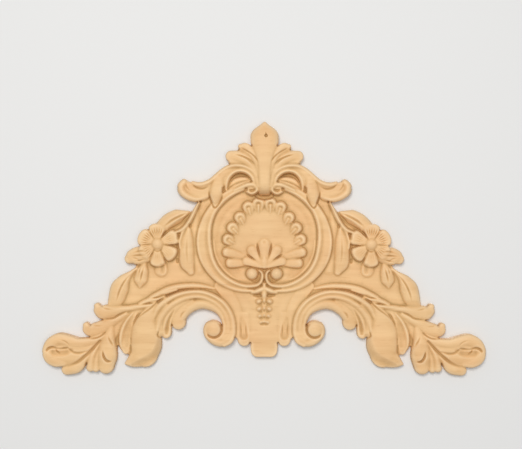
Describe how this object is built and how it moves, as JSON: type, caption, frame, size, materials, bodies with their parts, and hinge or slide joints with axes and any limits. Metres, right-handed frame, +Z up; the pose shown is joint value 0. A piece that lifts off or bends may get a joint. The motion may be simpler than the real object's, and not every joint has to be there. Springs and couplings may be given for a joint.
{
  "type": "carved wood applique",
  "caption": "Flat-backed pediment applique of carved wood: shell in a ring under a leaf crown, with flowers, leaves and scrolled acanthus ends, for fixing to a flat surface.",
  "frame": {"origin": "on the flat back, at the middle of the width and of the height", "axes": "+X to the right across the width, +Z up towards the crown, +Y out of the flat back; the relief faces -Y"},
  "size_m": [0.2796, 0.012, 0.1602],
  "materials": {
    "wood": "smooth unfinished pale tan, satin, no open grain"
  },
  "bodies": {
    "root": {"applique": "wood"}
  },
  "joints": []
}
